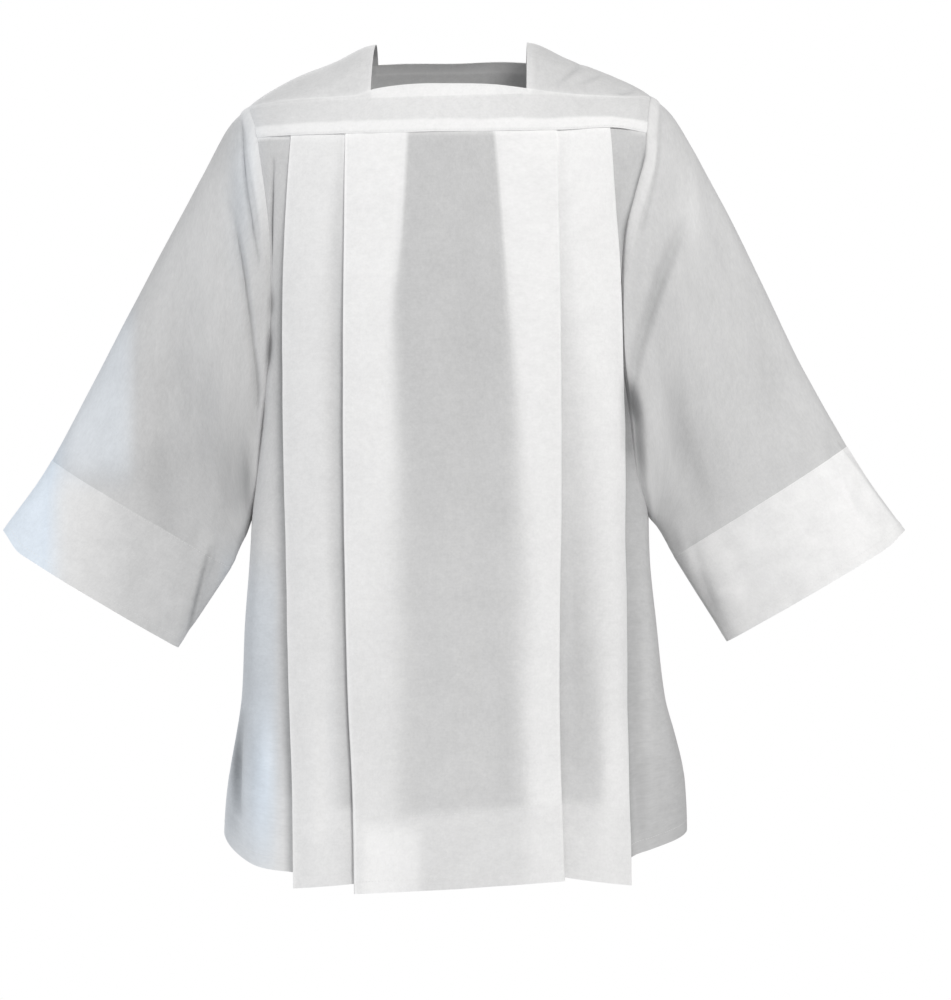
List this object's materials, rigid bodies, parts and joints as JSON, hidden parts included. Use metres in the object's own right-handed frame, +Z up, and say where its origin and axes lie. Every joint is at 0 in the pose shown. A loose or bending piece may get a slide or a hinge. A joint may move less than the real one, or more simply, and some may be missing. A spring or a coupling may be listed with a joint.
{
  "type": "surplice",
  "caption": "Hollow white surplice as worn, with a square-necked yoke, knife-pleated front and back and wide open sleeves with deep hems.",
  "frame": {"origin": "on the shoulder ridge, midway between the two neck edges, where the wearer's shoulders hold the garment", "axes": "+Z up, +X to the right of someone facing the front, +Y towards the garment's back"},
  "size_m": [0.9915, 0.3213, 0.9145],
  "materials": {
    "yoke_cloth": "matt white plain weave, doubled",
    "panel_cloth": "matt white plain weave, pressed pleats",
    "sleeve_cloth": "matt white plain weave",
    "hem_cloth": "matt white plain weave, doubled hem"
  },
  "bodies": {
    "root": {"yoke_front": "yoke_cloth", "yoke_back": "yoke_cloth", "shoulder_left": "yoke_cloth", "shoulder_right": "yoke_cloth", "front_panel": "panel_cloth", "back_panel": "panel_cloth", "sleeve_left": "sleeve_cloth", "sleeve_right": "sleeve_cloth", "cuff_left": "hem_cloth", "cuff_right": "hem_cloth"}
  },
  "joints": []
}
